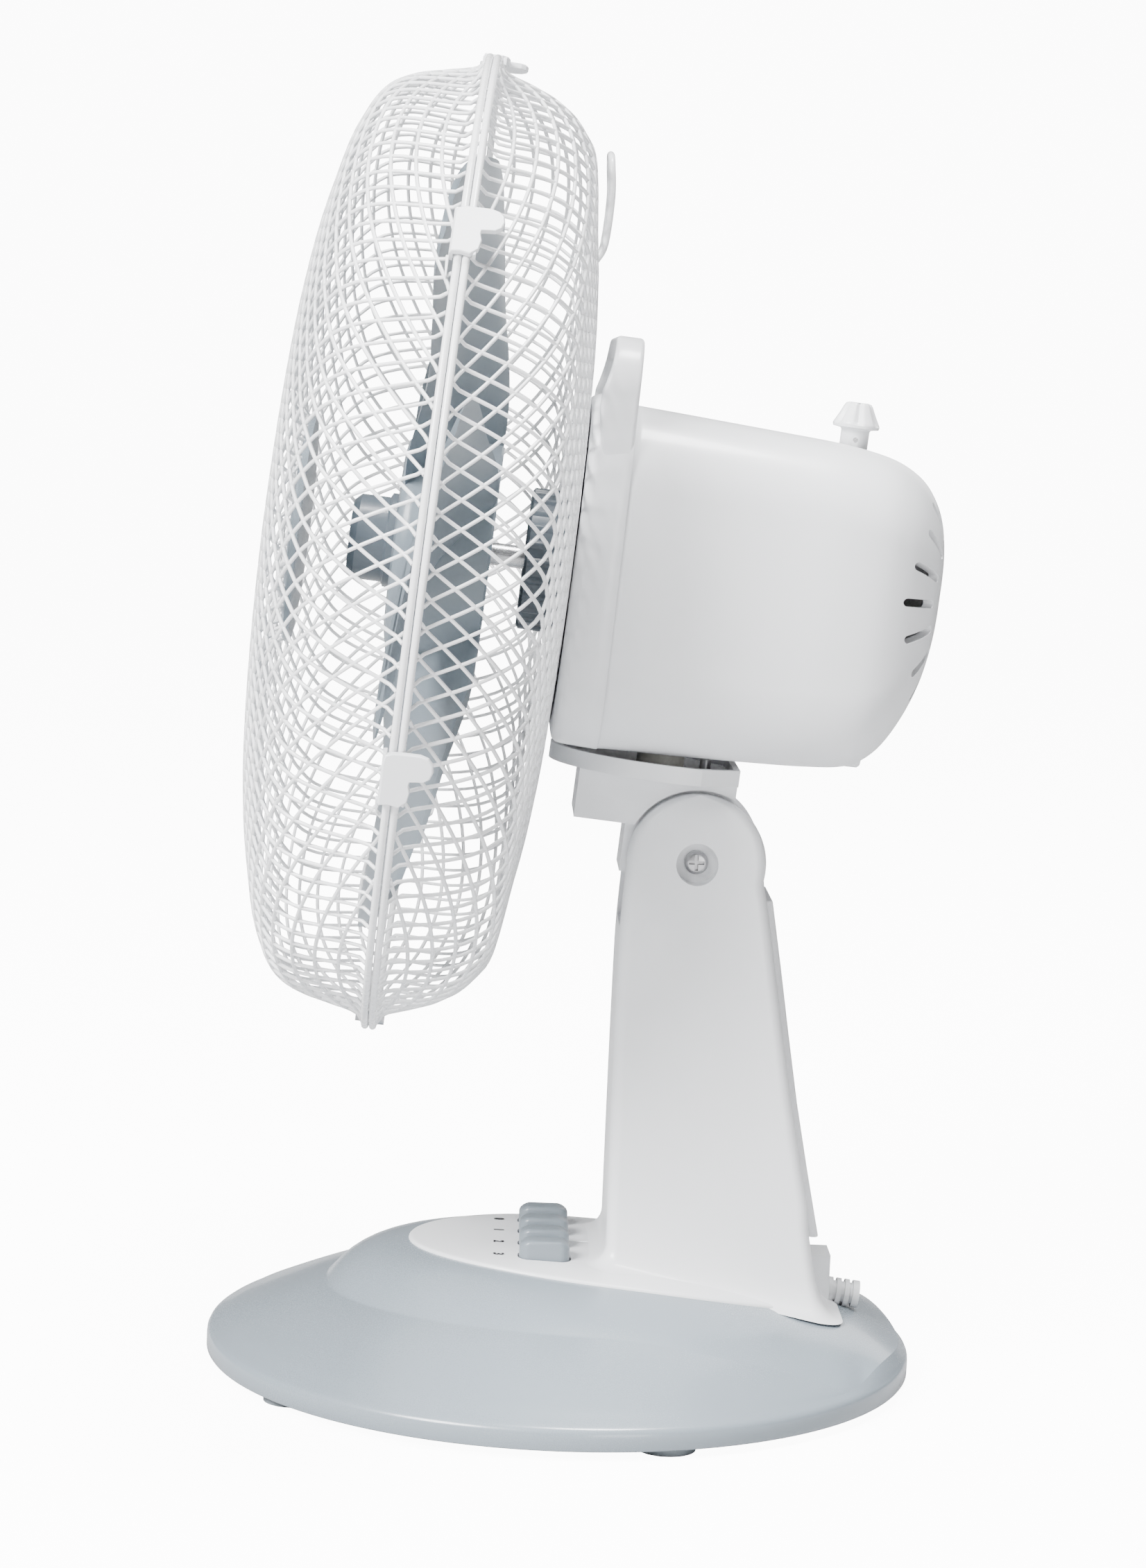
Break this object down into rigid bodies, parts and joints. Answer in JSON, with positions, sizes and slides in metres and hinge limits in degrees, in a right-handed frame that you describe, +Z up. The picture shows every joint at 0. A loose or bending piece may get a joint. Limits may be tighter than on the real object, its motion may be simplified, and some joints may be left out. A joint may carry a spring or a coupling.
{
  "type": "desk fan",
  "caption": "Desk fan with a round weighted base, keys, a tilting and swinging motor head, a caged blade and a carrying handle.",
  "frame": {"origin": "on the floor under the middle of the round base", "axes": "+Z up; the fan faces -Y; +X is the right side seen from behind the fan"},
  "size_m": [0.3429, 0.252, 0.4645],
  "materials": {
    "ballast_iron": "as cast",
    "base_grey": "glossy blue-grey moulding",
    "bearing_bronze": "sintered bronze",
    "blade_grey": "smooth blue-grey",
    "bush_plastic": "natural acetal",
    "capacitor_plastic": "black",
    "copper_wire": "enamelled copper",
    "core_steel": "laminated",
    "foot_rubber": "matte",
    "key_grey": "satin grey",
    "nut_grey": "satin dark blue-grey",
    "plate_steel": "galvanised",
    "relief_plastic": "soft light grey",
    "screw_steel": "zinc plated",
    "shaft_steel": "ground",
    "shield_alloy": "die cast",
    "switch_plastic": "black",
    "white_plastic": "satin white moulding",
    "white_wire": "white powder coat on wire"
  },
  "bodies": {
    "base": {"base_cover": "base_grey", "base_plate": "plate_steel", "ballast_weight": "ballast_iron", "rubber_feet": "foot_rubber", "base_screws": "screw_steel", "column_housing": "white_plastic", "column_rear_cover": "white_plastic", "switch_block": "switch_plastic", "switch_stand": "switch_plastic", "cord_gland": "white_plastic", "strain_relief": "relief_plastic", "tilt_bolt": "screw_steel", "tilt_nut": "screw_steel"},
    "neck": {"tilt_bracket": "white_plastic", "post_bush": "bush_plastic", "link_anchor_pin": "plate_steel"},
    "head": {"motor_rear_cover": "white_plastic", "motor_front_cover": "white_plastic", "cover_screw": "screw_steel", "stator_core": "core_steel", "stator_windings": "copper_wire", "front_end_shield": "shield_alloy", "rear_end_shield": "shield_alloy", "front_bearing": "bearing_bronze", "rear_bearing": "bearing_bronze", "gearbox": "switch_plastic", "motor_carrier": "shield_alloy", "pivot_post": "screw_steel", "capacitor": "capacitor_plastic", "front_guard_rim": "white_wire", "rear_guard_rim": "white_wire", "front_guard_wires": "white_wire", "rear_guard_wires": "white_wire", "front_badge": "white_plastic", "rear_guard_plate": "white_wire", "guard_lock_nut": "nut_grey", "lock_tabs": "white_wire", "lock_screw": "screw_steel", "lock_nut": "screw_steel"},
    "rotor": {"fan_blade": "blade_grey", "spinner_nut": "nut_grey", "motor_shaft": "shaft_steel", "drive_pin": "shaft_steel", "rotor_core": "core_steel"},
    "knob": {"oscillation_knob": "white_plastic", "knob_pin": "shaft_steel", "knob_rod": "shaft_steel"},
    "crank": {"crank_disc": "bush_plastic"},
    "link": {"link_arm": "plate_steel"},
    "key_0": {"key_0": "key_grey"},
    "key_1": {"key_1": "key_grey"},
    "key_2": {"key_2": "key_grey"},
    "key_3": {"key_3": "key_grey"},
    "clip_1": {"guard_clip_1": "white_plastic"},
    "clip_2": {"guard_clip_2": "white_plastic"},
    "clip_3": {"guard_clip_3": "white_plastic"},
    "clip_4": {"guard_clip_4": "white_plastic"},
    "clip_5": {"guard_clip_5": "white_plastic"}
  },
  "joints": [
    {"name": "head_tilt", "type": "hinge", "parent": "base", "child": "neck", "pos_m": [0, 0.0412, 0.1848], "axis": [1, 0, 0], "range_deg": [-20, 15]},
    {"name": "oscillation", "type": "hinge", "parent": "neck", "child": "head", "pos_m": [0, 0.02814, 0.22325], "axis": [0, 0.0899, 0.9959], "range_deg": [-40, 40]},
    {"name": "fan_spin", "type": "hinge", "parent": "head", "child": "rotor", "pos_m": [0, -0.0561, 0.2911], "axis": [0, -0.9959, 0.0899], "continuous": true},
    {"name": "knob_slide", "type": "slide", "parent": "head", "child": "knob", "axis": [0, 0.0899, 0.9959], "range_m": [-0.0055, 0]},
    {"name": "crank_turn", "type": "hinge", "parent": "head", "child": "crank", "pos_m": [0, 0.08073, 0.23858], "axis": [0, 0.0899, 0.9959], "continuous": true},
    {"name": "link_turn", "type": "hinge", "parent": "crank", "child": "link", "pos_m": [0, 0.0734, 0.23523], "axis": [0, 0.0899, 0.9959], "continuous": true},
    {"name": "key_0_press", "type": "slide", "parent": "base", "child": "key_0", "axis": [0, 0, 1], "range_m": [-0.004, 0], "stiffness_N_per_m": 350},
    {"name": "key_1_press", "type": "slide", "parent": "base", "child": "key_1", "axis": [0, 0, 1], "range_m": [-0.004, 0], "stiffness_N_per_m": 350},
    {"name": "key_2_press", "type": "slide", "parent": "base", "child": "key_2", "axis": [0, 0, 1], "range_m": [-0.004, 0], "stiffness_N_per_m": 350},
    {"name": "key_3_press", "type": "slide", "parent": "base", "child": "key_3", "axis": [0, 0, 1], "range_m": [-0.004, 0], "stiffness_N_per_m": 350},
    {"name": "clip_1_swing", "type": "hinge", "parent": "head", "child": "clip_1", "pos_m": [0.13503, -0.04544, 0.39417], "axis": [-0.6088, 0.0714, 0.7901], "range_deg": [0, 30]},
    {"name": "clip_2_swing", "type": "hinge", "parent": "head", "child": "clip_2", "pos_m": [0.15724, -0.06061, 0.22611], "axis": [0.3827, 0.0831, 0.9201], "range_deg": [0, 30]},
    {"name": "clip_3_swing", "type": "hinge", "parent": "head", "child": "clip_3", "pos_m": [-0.13503, -0.06407, 0.18779], "axis": [0.6088, -0.0714, -0.7901], "range_deg": [0, 30]},
    {"name": "clip_4_swing", "type": "hinge", "parent": "head", "child": "clip_4", "pos_m": [-0.15724, -0.0489, 0.35585], "axis": [-0.3827, -0.0831, -0.9201], "range_deg": [0, 30]},
    {"name": "clip_5_swing", "type": "hinge", "parent": "head", "child": "clip_5", "pos_m": [-0.02222, -0.03958, 0.45904], "axis": [-0.9914, -0.0117, -0.13], "range_deg": [0, 30]}
  ],
  "couplings": [
    {"joint": "link_turn", "follows": "crank_turn", "ratio": -1}
  ]
}
